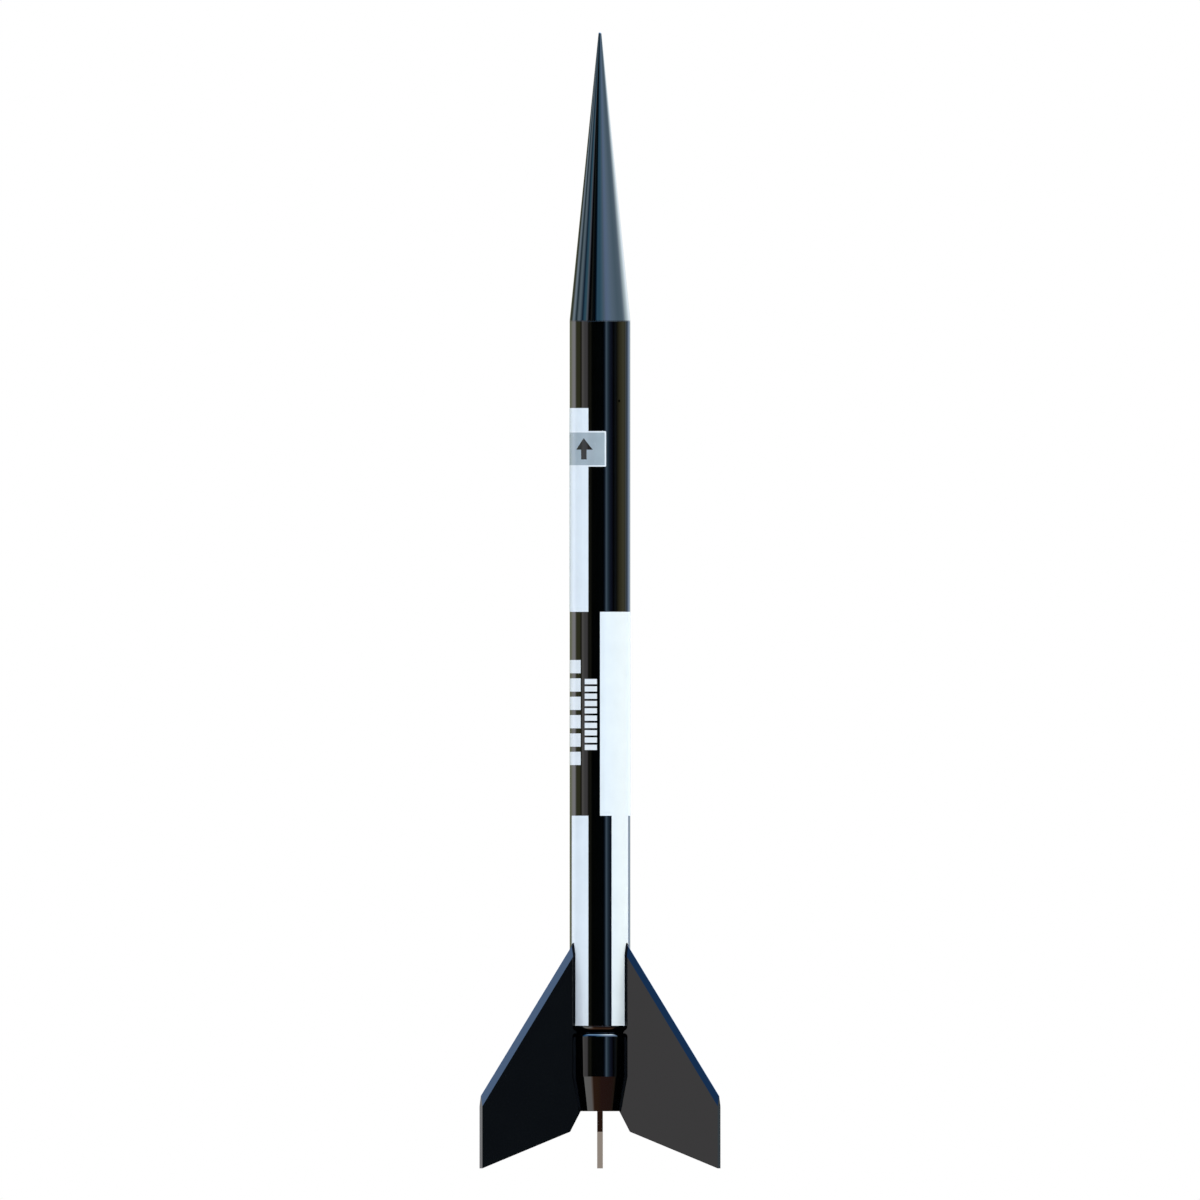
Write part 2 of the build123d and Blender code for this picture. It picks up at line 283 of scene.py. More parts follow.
def drill_cutter(bearing, radius, height, sides=32):
    """A round bar that reaches outwards on a bearing, to cut a hole in the tube with."""
    points = []
    for reach in (TUBE_RADIUS - CUTTER_REACH, TUBE_RADIUS + CUTTER_REACH):
        for step in range(sides):
            angle = 2 * math.pi * step / sides
            sideways = at_bearing(radius * math.cos(angle), bearing + 90, radius * math.sin(angle))
            points.append(at_bearing(reach, bearing, height) + sideways)
    faces = [tuple(range(sides - 1, -1, -1)), tuple(range(sides, 2 * sides))]
    faces += [(i, (i + 1) % sides, sides + (i + 1) % sides, sides + i) for i in range(sides)]
    return make_mesh("cutter", points, faces)


def film(name, outline, inner, outer, column=2.0):
    """A thin layer bent round the tube. Its outline is (bearing, height) corners, and it is cut into narrow
    columns so that it follows the curve."""
    shape = bmesh.new()
    shape.faces.new([shape.verts.new((bearing, height, 0)) for bearing, height in outline])
    bmesh.ops.triangulate(shape, faces=shape.faces[:])
    low = min(bearing for bearing, height in outline)
    high = max(bearing for bearing, height in outline)
    for step in range(1, int((high - low) / column) + 1):
        everything = shape.verts[:] + shape.edges[:] + shape.faces[:]
        place_of_cut = (low + step * column, 0, 0)
        bmesh.ops.bisect_plane(shape, geom=everything, plane_co=place_of_cut, plane_no=(1, 0, 0))
    bmesh.ops.recalc_face_normals(shape, faces=shape.faces[:])
    shape.verts.index_update()
    flat = [tuple(v.co) for v in shape.verts]
    tops = [tuple(v.index for v in f.verts) for f in shape.faces]
    rims = [tuple(v.index for v in e.verts) for e in shape.edges if e.is_boundary]
    facing = 1 if sum(f.normal.z for f in shape.faces) > 0 else -1
    shape.free()
    count = len(flat)
    points = [at_bearing(outer, b, z) for b, z, _ in flat] + [at_bearing(inner, b, z) for b, z, _ in flat]
    normals = [at_bearing(1, b, 0) for b, z, _ in flat] + [at_bearing(-1, b, 0) for b, z, _ in flat]
    faces = [f if facing > 0 else f[::-1] for f in tops]
    faces += [tuple(i + count for i in f[::-1]) for f in list(faces)]
    faces += [(a, b, b + count, a + count) for a, b in rims]
    piece = make_mesh(name, points, faces, normals)
    shape = bmesh.new()
    shape.from_mesh(piece.data)
    bmesh.ops.recalc_face_normals(shape, faces=shape.faces[:])
    shape.to_mesh(piece.data)
    shape.free()
    piece.data.normals_split_custom_set_from_vertices([Vector(n) for n in normals])
    return piece


def rounded_plate(left, right, bottom, top, radius):
    """The outline of a plate on the tube with round corners. Its sides are bearings and heights."""
    scale = math.degrees(1 / TUBE_RADIUS)
    corners = [
        (left / scale, bottom, radius),
        (right / scale, bottom, radius),
        (right / scale, top, radius),
        (left / scale, top, radius),
    ]
    return [(point.x * scale, point.y) for point, _ in rounded(corners, steps=6)]


def cove_strip(name, sections):
    """A glue fillet from its cross-sections, which are equally long lists of points."""
    width = len(sections[0])
    points = [point for section in sections for point in section]
    faces = []
    for i in range(len(sections) - 1):
        for j in range(width):
            a, b = i * width + j, i * width + (j + 1) % width
            faces.append((a, b, b + width, a + width))
    faces.append(tuple(range(width)))
    faces.append(tuple(range(len(points) - 1, len(points) - 1 - width, -1)))
    piece = make_mesh(name, points, faces)
    shape = bmesh.new()
    shape.from_mesh(piece.data)
    bmesh.ops.recalc_face_normals(shape, faces=shape.faces[:])
    for edge in shape.edges:
        if len(edge.link_faces) == 2 and edge.calc_face_angle() > math.radians(40):
            edge.smooth = False
    shape.to_mesh(piece.data)
    shape.free()
    return piece


def cove_section(from_point, corner, to_point, depth, steps=8):
    """The cross-section of a fillet: a hollow curve between two touching points, closed a little way in."""
    hollow = []
    for step in range(steps + 1):
        share = step / steps
        hollow.append(from_point.lerp(corner, share).lerp(corner.lerp(to_point, share), share))
    inward = (corner - (from_point + to_point) / 2).normalized()
    return hollow + [to_point + inward * depth, from_point + inward * depth]


def soften(piece, width):
    """Rounds the sharp edges of a CAD node by a hair, so that they catch the light."""
    edge = piece.modifiers.new("soft_edges", "BEVEL")
    edge.width = width * MM
    edge.segments = 2
    edge.limit_method = "ANGLE"
    edge.angle_limit = math.radians(28)
    edge.harden_normals = True
    edge.use_clamp_overlap = True


# ---------------------------------------------------------------- materials


def new_material(name, **sockets):
    """A material whose shader takes plain values for the named sockets."""
    material = bpy.data.materials.new(name)
    material.use_nodes = True
    shader = material.node_tree.nodes["Principled BSDF"]
    for socket, value in sockets.items():
        shader.inputs[socket.replace("_", " ").title().replace("Ior", "IOR")].default_value = value
    return material, shader


def add_node(tree, kind, inputs=(), **settings):
    """A node with its settings, and its inputs as plain values or as other nodes' outputs."""
    node = tree.nodes.new(kind)
    for setting, value in settings.items():
        setattr(node, setting, value)
    for socket, value in dict(inputs).items():
        if isinstance(value, bpy.types.NodeSocket):
            tree.links.new(value, node.inputs[socket])
        else:
            node.inputs[socket].default_value = value
    return node


def math_node(tree, operation, *values):
    """The result of a sum on plain values and other nodes' outputs."""
    return add_node(tree, "ShaderNodeMath", enumerate(values), operation=operation).outputs[0]


def place(tree):
    """Where a point is in its own object, in metres."""
    return add_node(tree, "ShaderNodeTexCoord").outputs["Object"]


def stretched(tree, x, y, z):
    """Where a point is, with each direction scaled."""
    inputs = {"Vector": place(tree), "Scale": (x, y, z)}
    return add_node(tree, "ShaderNodeMapping", inputs).outputs["Vector"]


def grain(tree, scale, detail=3.0, roughness=0.5, vector=None):
    """Soft random variation from 0 to 1."""
    where = vector or place(tree)
    inputs = {"Vector": where, "Scale": scale, "Detail": detail, "Roughness": roughness}
    return add_node(tree, "ShaderNodeTexNoise", inputs).outputs["Fac"]


def ramp(tree, value, *stops):
    """Colours, or plain numbers as greys, spread along a value."""
    node = add_node(tree, "ShaderNodeValToRGB", {"Fac": value})
    elements = node.color_ramp.elements
    while len(elements) < len(stops):
        elements.new(0.5)
    for element, (position, colour) in zip(elements, stops):
        element.position = position
        element.color = (*colour, 1) if hasattr(colour, "__len__") else (colour, colour, colour, 1)
    return node.outputs["Color"]


def between(tree, value, low, high, new_low=0.0, new_high=1.0):
    """A value carried from one range to another, smoothly and no further."""
    inputs = {"Value": value, "From Min": low, "From Max": high, "To Min": new_low, "To Max": new_high}
    return add_node(tree, "ShaderNodeMapRange", inputs, interpolation_type="SMOOTHSTEP").outputs["Result"]


def mixed(tree, share, first, second):
    """Two colours mixed."""
    node = add_node(tree, "ShaderNodeMix", data_type="RGBA")
    for socket, value in (("Factor_Float", share), ("A_Color", first), ("B_Color", second)):
        target = next(s for s in node.inputs if s.identifier == socket)
        if isinstance(value, bpy.types.NodeSocket):
            tree.links.new(value, target)
        else:
            target.default_value = value if socket == "Factor_Float" else (*value, 1)
    return next(s for s in node.outputs if s.identifier == "Result_Color")


def mottled(tree, scale, low, high, **settings):
    """Two colours or two numbers, spread by soft random variation."""
    return ramp(tree, grain(tree, scale, **settings), (0.3, low), (0.7, high))


def raise_surface(tree, shader, height, depth):
    """Bumps the surface by a height from 0 to 1 times a depth in millimetres, over any bump it has."""
    inputs = {"Height": height, "Distance": depth * MM, "Strength": 1.0}
    if shader.inputs["Normal"].links:
        inputs["Normal"] = shader.inputs["Normal"].links[0].from_socket
    bump = add_node(tree, "ShaderNodeBump", inputs)
    tree.links.new(bump.outputs["Normal"], shader.inputs["Normal"])


def spiral_seam(tree, pitch, width):
    """1 on the seam of a spirally wound tube, and 0 elsewhere."""
    xyz = add_node(tree, "ShaderNodeSeparateXYZ", {"Vector": place(tree)}).outputs
    turn = math_node(tree, "DIVIDE", math_node(tree, "ARCTAN2", xyz["Y"], xyz["X"]), 2 * math.pi)
    rise = math_node(tree, "DIVIDE", xyz["Z"], pitch * MM)
    phase = math_node(tree, "FRACT", math_node(tree, "ADD", turn, rise))
    away = math_node(tree, "ABSOLUTE", math_node(tree, "SUBTRACT", phase, 0.5))
    return between(tree, away, 0, width / pitch, 1.0, 0.0)


def gloss_paint(name, dark, light, roughness, peel=0.0004, seam=0.0, **sockets):
    """Sprayed and polished enamel: near-even colour, a faint orange peel and a few soft dull patches."""
    material, shader = new_material(name, ior=1.5, **sockets)
    tree = material.node_tree
    tree.links.new(mottled(tree, 60, dark, light), shader.inputs["Base Color"])
    dull = grain(tree, 45, detail=6, roughness=0.65)
    spread = (0.35, roughness), (0.75, roughness * 1.7)
    tree.links.new(ramp(tree, dull, *spread), shader.inputs["Roughness"])
    raise_surface(tree, shader, grain(tree, 700, detail=2), peel)
    if seam:
        raise_surface(tree, shader, spiral_seam(tree, 62, 0.6), seam)
    return material


def kraft_paper(name, dark, light, pitch):
    """Spirally wound brown paper, with fibres along the winding and a darker seam."""
    material, shader = new_material(name, roughness=0.82, ior=1.45)
    tree = material.node_tree
    fibres = grain(tree, 900, detail=5, roughness=0.7, vector=stretched(tree, 1, 1, 0.25))
    fibre_tone = ramp(tree, fibres, (0.3, dark), (0.7, light))
    body = mixed(tree, 0.5, fibre_tone, mottled(tree, 120, dark, light, detail=4))
    seam = spiral_seam(tree, pitch, 0.5)
    shade = tuple(channel * 0.45 for channel in dark)
    tree.links.new(mixed(tree, seam, body, shade), shader.inputs["Base Color"])
    raise_surface(tree, shader, fibres, 0.03)
    raise_surface(tree, shader, seam, -0.06)
    return material


def pressed_board(name, dark, light):
    """Cut ends and faces of wound grey-brown board, with its plies showing as rings."""
    material, shader = new_material(name, roughness=0.85, ior=1.45)
    tree = material.node_tree
    xyz = add_node(tree, "ShaderNodeSeparateXYZ", {"Vector": place(tree)}).outputs
    across = add_node(tree, "ShaderNodeCombineXYZ", {"X": xyz["X"], "Y": xyz["Y"]}).outputs["Vector"]
    radius = add_node(tree, "ShaderNodeVectorMath", {0: across}, operation="LENGTH").outputs["Value"]
    plies = math_node(tree, "SINE", math_node(tree, "MULTIPLY", radius, 2 * math.pi / (0.35 * MM)))
    rings = between(tree, plies, -1, 1)
    specks = grain(tree, 1500, detail=4)
    body = mixed(tree, specks, mixed(tree, rings, dark, light), light)
    tree.links.new(body, shader.inputs["Base Color"])
    raise_surface(tree, shader, rings, 0.02)
    raise_surface(tree, shader, specks, 0.03)
    return material


def printed_vinyl(name, dark, light, roughness=0.16):
    """Glossy self-adhesive film: an even colour with the slightest mottle and a soft sheen."""
    material, shader = new_material(name, ior=1.47)
    tree = material.node_tree
    tree.links.new(mottled(tree, 90, dark, light, detail=5), shader.inputs["Base Color"])
    sheen = mottled(tree, 260, roughness, roughness * 1.4, detail=4)
    tree.links.new(sheen, shader.inputs["Roughness"])
    raise_surface(tree, shader, grain(tree, 500, detail=2), 0.0012)
    return material


def moulded_plastic(name, dark, light, roughness, texture):
    """Moulded plastic with a fine spark-eroded texture."""
    material, shader = new_material(name, ior=1.49)
    tree = material.node_tree
    tree.links.new(mottled(tree, 150, dark, light), shader.inputs["Base Color"])
    tree.links.new(mottled(tree, 400, roughness, roughness * 1.3), shader.inputs["Roughness"])
    raise_surface(tree, shader, grain(tree, 2600, detail=2), texture)
    return material


def ripstop(name, dark, light, thread=0.22, square=3.2):
    """Thin woven nylon with thicker threads in squares."""
    material, shader = new_material(name, roughness=0.46, ior=1.5, sheen_weight=0.25)
    tree = material.node_tree
    uv = add_node(tree, "ShaderNodeUVMap").outputs["UV"]
    parts = add_node(tree, "ShaderNodeSeparateXYZ", {"Vector": uv}).outputs
    heights = []
    for pitch, sharp, share in ((thread, 1.0, 0.4), (square, 14.0, 0.6)):
        threads = []
        for axis in ("X", "Y"):
            phase = math_node(tree, "MULTIPLY", parts[axis], 2 * math.pi / (pitch * MM))
            wave = between(tree, math_node(tree, "SINE", phase), -1, 1)
            threads.append(math_node(tree, "POWER", wave, sharp))
        heights.append(math_node(tree, "MULTIPLY", math_node(tree, "MAXIMUM", *threads), share))
    tone = math_node(tree, "ADD", *heights)
    tree.links.new(ramp(tree, tone, (0.1, dark), (0.8, light)), shader.inputs["Base Color"])
    raise_surface(tree, shader, tone, 0.05)
    return material


def tissue(name):
    """Flameproof crepe tissue: fine wrinkles over soft mottling."""
    material, shader = new_material(name, roughness=0.9, ior=1.4, sheen_weight=0.15)
    tree = material.node_tree
    crepe = grain(tree, 1400, detail=3, vector=stretched(tree, 1, 1, 0.2))
    mottle = grain(tree, 180, detail=5)
    tone = mixed(tree, mottle, (0.52, 0.43, 0.30), (0.72, 0.64, 0.50))
    tree.links.new(mixed(tree, crepe, tone, (0.80, 0.73, 0.60)), shader.inputs["Base Color"])
    raise_surface(tree, shader, crepe, 0.15)
    return material


def clay(name):
    """Grey modelling clay with finger dents."""
    material, shader = new_material(name, roughness=0.7, ior=1.45)
    tree = material.node_tree
    dents = grain(tree, 220, detail=2)
    tone = ramp(tree, dents, (0.3, (0.22, 0.21, 0.19)), (0.7, (0.38, 0.36, 0.33)))
    tree.links.new(tone, shader.inputs["Base Color"])
    raise_surface(tree, shader, dents, 0.6)
    raise_surface(tree, shader, grain(tree, 1800), 0.05)
    return material


BLACK = (0.0001, 0.0001, 0.0002), (0.0005, 0.0006, 0.0007)
tube_paint = gloss_paint("gloss_black_on_paper", *BLACK, 0.012, seam=0.0003)
wood_paint = gloss_paint("gloss_black_on_wood", *BLACK, 0.014, peel=0.0005)
nose_paint = gloss_paint("gloss_black_on_plastic", *BLACK, 0.012, peel=0.0003)
glue_paint = gloss_paint("gloss_black_on_glue", *BLACK, 0.5, peel=0.002, specular_ior_level=0.06)
white_film = printed_vinyl("white_film", (0.80, 0.83, 0.86), (0.84, 0.87, 0.90))
border_film = printed_vinyl("emblem_border_film", (0.82, 0.84, 0.86), (0.86, 0.88, 0.90))
field_film = printed_vinyl("emblem_field_film", (0.34, 0.395, 0.43), (0.385, 0.435, 0.47), 0.2)
symbol_film = printed_vinyl("emblem_symbol_film", (0.006, 0.004, 0.004), (0.014, 0.011, 0.011), 0.14)
mark_film = printed_vinyl("mark_film", (0.80, 0.81, 0.82), (0.86, 0.87, 0.88))
tube_kraft = kraft_paper("motor_tube_kraft", (0.30, 0.19, 0.10), (0.47, 0.33, 0.19), 38)
anchor_kraft = kraft_paper("anchor_kraft", (0.42, 0.33, 0.22), (0.62, 0.52, 0.38), 300)
ring_board = pressed_board("ring_board", (0.22, 0.15, 0.09), (0.42, 0.31, 0.20))
plug_plastic = moulded_plastic("plug_plastic", (0.012, 0.012, 0.014), (0.022, 0.022, 0.026), 0.36, 0.02)
canopy_cloth = ripstop("canopy_ripstop", (0.42, 0.035, 0.012), (0.78, 0.10, 0.03))
wadding_tissue = tissue("wadding_tissue")
weight_clay = clay("weight_clay")


# ---------------------------------------------------------------- airframe


def fin_slot_cutters(bottom, top):
    """The blocks that cut the three fin slots."""
    width = FIN_THICKNESS + 2 * SLOT_CLEARANCE
    inner, outer = NECK_RADIUS - CUTTER_REACH, TUBE_RADIUS + CUTTER_REACH
    return [slab_cutter(bearing, width, inner, outer, bottom, top) for bearing in FIN_BEARINGS]


def make_body_tube():
    """The painted paper tube, with its slots and its vent hole."""
    bore = TUBE_RADIUS - TUBE_WALL
    outline = rounded([
        (bore, TUBE_BOTTOM, 0.08),
        (TUBE_RADIUS, TUBE_BOTTOM, EDGE_ROUND),
        (TUBE_RADIUS, TUBE_TOP, EDGE_ROUND),
        (bore, TUBE_TOP, 0.08),
    ])
    cutters = fin_slot_cutters(TUBE_BOTTOM - 1, FIN_TAB_TOP + SLOT_CLEARANCE)
    cutters.append(drill_cutter(VENT_BEARING, VENT_RADIUS, VENT_HEIGHT))
    return cut(lathe("painted_body_tube", outline), cutters, outline)


def make_nose_cone():
    """The polished nose: a long cone with a small round tip, a short lip and a hollow shoulder."""
    tip_centre = NOSE_TIP - NOSE_TIP_RADIUS
    cone_bottom = TUBE_TOP + NOSE_LIP
    rise = tip_centre - cone_bottom
    slope = math.atan2(TUBE_RADIUS, rise) - math.asin(NOSE_TIP_RADIUS / math.hypot(rise, TUBE_RADIUS))
    cone_top = (NOSE_TIP_RADIUS * math.cos(slope), tip_centre + NOSE_TIP_RADIUS * math.sin(slope))
    bore = NOSE_SHOULDER_RADIUS - NOSE_WALL
    cone_bore = TUBE_RADIUS + NOSE_LIP * math.tan(slope) - NOSE_WALL / math.cos(slope)
    narrowing = (cone_bore - bore) / math.tan(slope)
    outline = rounded([
        (0, NOSE_HOLLOW_TOP, 0),
        (NOSE_HOLLOW_TOP_RADIUS, NOSE_HOLLOW_TOP, 0.4),
        (bore, TUBE_TOP + narrowing, 2),
        (bore, NOSE_SHOULDER_BOTTOM, 0.3),
        (NOSE_SHOULDER_RADIUS, NOSE_SHOULDER_BOTTOM, 0.5),
        (NOSE_SHOULDER_RADIUS, TUBE_TOP, 0.1),
        (TUBE_RADIUS, TUBE_TOP, 0.08),
        (TUBE_RADIUS, cone_bottom, 1),
        (*cone_top, 0),
    ], closed=False)
    tip = arc((0, tip_centre), NOSE_TIP_RADIUS, math.degrees(slope), 90, 12)
    return lathe("polished_nose_cone", outline + tip[1:], closed=False)


def make_tail_cone():
    """The turned tail: a boat tail, a plain length that rounds in to a groove, and a shoulder."""
    lip_radius = TUBE_RADIUS - LIP_INSET
    outline = rounded([
        (TAIL_GRIP_RADIUS, 0, 0.15),
        (BOAT_TAIL_END_RADIUS, 0, 0.25),
        (TUBE_RADIUS, BOAT_TAIL_TOP, 0.3),
        (TUBE_RADIUS, NECK_BOTTOM, 1.9),
        (NECK_RADIUS - NECK_UNDERCUT, NECK_BOTTOM, 0.15),
        (NECK_RADIUS + NECK_FLARE, NECK_TOP - NECK_FLARE, 0.2),
        (lip_radius - LIP_CHAMFER, LIP_BOTTOM, 0.1),
        (lip_radius, LIP_BOTTOM + LIP_CHAMFER, LIP_ROUND),
        (lip_radius, TUBE_BOTTOM - JOINT_GROOVE, 0.05),
        (TAIL_SHOULDER_RADIUS, TUBE_BOTTOM - SHOULDER_STEP, 0.05),
        (TAIL_SHOULDER_RADIUS, TAIL_SHOULDER_TOP, 0.2),
        (TAIL_BORE_RADIUS, TAIL_SHOULDER_TOP, 0.2),
        (TAIL_BORE_RADIUS, TAIL_GRIP_HEIGHT + TAIL_BORE_RADIUS - TAIL_GRIP_RADIUS, 0.3),
        (TAIL_GRIP_RADIUS, TAIL_GRIP_HEIGHT, 0.3),
    ])
    cutters = fin_slot_cutters(FIN_TAB_BOTTOM - SLOT_CLEARANCE, TAIL_SHOULDER_TOP + 1)
    return cut(lathe("painted_tail_cone", outline), cutters, outline)


def tail_radius(height):
    """The outside of the tail or the tube at a height, away from the groove."""
    share = min(1.0, height / BOAT_TAIL_TOP)
    return BOAT_TAIL_END_RADIUS + (TUBE_RADIUS - BOAT_TAIL_END_RADIUS) * share


def fin_half_thickness(height):
    """Half the thickness of a fin where it meets the tube, which falls away along the bevel."""
    share = min(1.0, max(0.0, (FIN_APEX - height) / FIN_BEVEL_DROP))
    return (FIN_EDGE_THICKNESS + (FIN_THICKNESS - FIN_EDGE_THICKNESS) * share) / 2


def tube_point(radius, angle):
    """A point of the tube's round section, at an angle in radians from the line that a fillet starts at."""
    return Vector((math.cos(angle), math.sin(angle))) * radius


def placed_section(section, bearing, side, height):
    """A fillet's flat section, stood at a height on one side of the line at a bearing."""
    return [
        at_bearing(point.x, bearing, height) + at_bearing(point.y * side, bearing + 90, 0)
        for point in section
    ]


def make_root_fillet(name, bearing, side, bottom, top):
    """A smoothed line of glue along one side of a fin's root, thinner at its ends."""
    sections = []
    steps = 40
    for step in range(steps + 1):
        height = bottom + (top - bottom) * step / steps
        from_end = min(1.0, min(step, steps - step) / 2)
        size = ROOT_FILLET_END_SHARE + (1 - ROOT_FILLET_END_SHARE) * from_end
        size *= 1 + ROOT_FILLET_WAVER * noise.noise((height * 0.15, bearing, side))
        tube, half = tail_radius(height), fin_half_thickness(height)
        corner = Vector((math.sqrt(tube ** 2 - half ** 2), half))
        on_fin = corner + Vector((ROOT_FILLET_ON_FIN * size, 0))
        on_tube = tube_point(tube, math.asin(half / tube) + ROOT_FILLET_ON_TUBE * size / tube)
        section = cove_section(on_tube, corner, on_fin, ROOT_FILLET_DEPTH)
        sections.append(placed_section(section, bearing, side, height))
    return cove_strip(name, sections)


def make_lug_fillet(name, side, bottom, top):
    """A smoothed line of glue along one side of a launch lug."""
    lug_turn = math.radians(LUG_FILLET_ON_LUG_ANGLE)
    lug_centre = Vector((SKIN_RADIUS + LUG_RADIUS, 0))
    on_lug = lug_centre - LUG_RADIUS * Vector((math.cos(lug_turn), -math.sin(lug_turn)))
    on_tube = tube_point(TUBE_RADIUS, LUG_FILLET_ON_TUBE / TUBE_RADIUS)
    corner = tube_point(TUBE_RADIUS + LUG_FILLET_LIFT, LUG_FILLET_CORNER / TUBE_RADIUS)
    section = cove_section(on_tube, corner, on_lug, LUG_FILLET_DEPTH)
    sections = []
    steps = 16
    for step in range(steps + 1):
        height = bottom + (top - bottom) * step / steps
        sections.append(placed_section(section, LUG_BEARING, side, height))
    return cove_strip(name, sections)


def add_root_fillets():
    """Both sides of each fin's root get a fillet on the tail and one on the tube."""
    spans = {
        "tail": (FILLET_END_GAP, NECK_BOTTOM - TAIL_FILLET_TOP_GAP),
        "tube": (TUBE_BOTTOM + FILLET_END_GAP, FIN_APEX),
    }
    for bearing, fin_name in zip(FIN_BEARINGS, ("right", "left", "rear")):
        for side, side_name in SIDES:
            for span_name, (bottom, top) in spans.items():
                name = f"root_fillet_{fin_name}_{span_name}_{side_name}"
                fillet = make_root_fillet(name, bearing, side, bottom, top)
                finish_piece(fillet, "airframe", glue_paint)


def add_lug_fillets():
    """Both sides of each launch lug get a fillet."""
    for lug_name in ("launch_lug_aft", "launch_lug_forward"):
        low, high = mm_box(lug_name)
        for side, side_name in SIDES:
            name = f"{lug_name}_fillet_{side_name}"
            fillet = make_lug_fillet(name, side, low.z + FILLET_END_GAP, high.z - FILLET_END_GAP)
            finish_piece(fillet, "airframe", glue_paint)


finish_piece(make_body_tube(), "airframe", tube_paint, ["body_tube"])
finish_piece(make_tail_cone(), "airframe", wood_paint, ["tail_cone"])
finish_piece(make_nose_cone(), "nose", nose_paint, ["nose_cone"])
add_root_fillets()
add_lug_fillets()


# ---------------------------------------------------------------- emblem

EMBLEM_BORDER = 0.8
LAYER = 0.015
ARROW_BEARING = -32.0
ARROW_HEIGHT = 371.0
ARROW_LENGTH = 12.0
ARROW_WIDTH = 11.0
ARROW_SHAFT_WIDTH = 3.6
ARROW_HEAD_LENGTH = 6.5


def arrow_outline():
    """A plain arrow that points to the nose."""
    scale = math.degrees(1 / SKIN_RADIUS)
    half, shaft = ARROW_WIDTH / 2, ARROW_SHAFT_WIDTH / 2
    bottom, top = -ARROW_LENGTH / 2, ARROW_LENGTH / 2
    neck = top - ARROW_HEAD_LENGTH
    shape = [
        (-shaft, bottom),
        (shaft, bottom),
        (shaft, neck),
        (half, neck),
        (0, top),
        (-half, neck),
        (-shaft, neck),
    ]
    return [(ARROW_BEARING + x * scale, ARROW_HEIGHT + z) for x, z in shape]


def make_emblem():
    """The emblem sticker: a white border, a grey-blue field and a plain dark arrow, one over the other."""
    (left, right), (low, high) = EMBLEM_BEARINGS, mm_box("emblem_decal")
    scale = math.degrees(1 / SKIN_RADIUS)
    border = EMBLEM_BORDER * scale
    outer = SKIN_RADIUS + LAYER
    plate = rounded_plate(left, right, low.z, high.z, 0.5)
    field = rounded_plate(left + border, right - border, low.z + EMBLEM_BORDER, high.z - EMBLEM_BORDER, 0.2)
    return [
        (film("emblem_border", plate, TUBE_RADIUS, outer), border_film),
        (film("emblem_field", field, outer, outer + LAYER), field_film),
        (film("emblem_arrow", arrow_outline(), outer + LAYER, outer + 2 * LAYER), symbol_film),
    ]


for emblem_layer, layer_film in make_emblem():
    finish_piece(emblem_layer, "airframe", layer_film, ["emblem_decal"])


# ---------------------------------------------------------------- recovery gear

PARACHUTE_CORE = 1.5
PARACHUTE_TURNS = 22
PARACHUTE_INSET = 0.3
PARACHUTE_BULGE = 0.55
PARACHUTE_RAGGED_EDGE = 1.3
WADDING_FOLD = 1.5
WADDING_CREASE = 0.7
WADDING_END_DENT = 1.2


def make_parachute():
    """The rolled canopy, one long strip of thin nylon wound up, with uneven edges and soft bulges."""
    low, high = mm_box("parachute")
    middle, tall = (low.z + high.z) / 2, high.z - low.z
    radius = high.x - PARACHUTE_INSET
    per_turn, rows = 72, 24
    columns = PARACHUTE_TURNS * per_turn
    points, faces, uvs = [], [], []
    length = 0.0
    for column in range(columns + 1):
        turn = column / per_turn
        spiral = PARACHUTE_CORE + (radius - PARACHUTE_CORE) * turn / PARACHUTE_TURNS
        bearing = 360 * turn
        length += 2 * math.pi * spiral / per_turn
        for row in range(rows + 1):
            share = row / rows
            loose = PARACHUTE_BULGE * min(1.0, spiral / 8)
            bulge = noise.noise(at_bearing(0.8, bearing, share * 4)) * loose
            ragged = (noise.noise((turn * 0.9, 7.3, round(share))) - 1) * PARACHUTE_RAGGED_EDGE
            height = middle + (share - 0.5) * (tall + 2 * ragged)
            points.append(at_bearing(min(radius, spiral + bulge), bearing, height))
            uvs.append((length * MM, height * MM))
    for column in range(columns):
        for row in range(rows):
            a = column * (rows + 1) + row
            faces.append((a, a + rows + 1, a + rows + 2, a + 1))
    piece = make_mesh("rolled_parachute", points, faces)
    layer = piece.data.uv_layers.new(name="cloth")
    for loop in piece.data.loops:
        layer.data[loop.index].uv = uvs[loop.vertex_index]
    return piece


def make_wadding():
    """Crumpled tissue packed into the tube."""
    low, high = mm_box("wadding")
    radius, half = high.x, (high.z - low.z) / 2
    around, rows = 220, 90
    points = []
    for row in range(1, rows):
        tilt = math.pi * (row / rows - 0.5)
        out = abs(math.cos(tilt)) ** 0.4
        up = math.copysign(abs(math.sin(tilt)) ** 0.7, tilt)
        for step in range(around):
            bearing = 360 * step / around
            spot = at_bearing(out, bearing, up)
            fold = 1 - abs(noise.noise(spot * 2.6)) * 2
            crease = 1 - abs(noise.noise(spot * 7 + Vector((3, 1, 5)))) * 2
            dent = WADDING_FOLD * (1 - max(0.0, fold)) + WADDING_CREASE * (1 - max(0.0, crease))
            points.append(at_bearing((radius - dent) * out, bearing, low.z + half + (half - dent) * up))
    bottom, top = len(points), len(points) + 1
    points += [(0, 0, low.z + WADDING_END_DENT), (0, 0, high.z - WADDING_END_DENT)]
    faces = []
    for row in range(rows - 2):
        for step in range(around):
            a, b = row * around + step, row * around + (step + 1) % around
            faces.append((a, b, b + around, a + around))
    last = (rows - 2) * around
    for step in range(around):
        after = (step + 1) % around
        faces.append((bottom, after, step))
        faces.append((top, last + step, last + after))
    return make_mesh("crumpled_wadding", points, faces)


wadding = make_wadding()
finish_piece(wadding, "airframe", wadding_tissue, ["wadding"])
parachute = make_parachute()
finish_piece(parachute, "recovery_pack", canopy_cloth, ["parachute"])


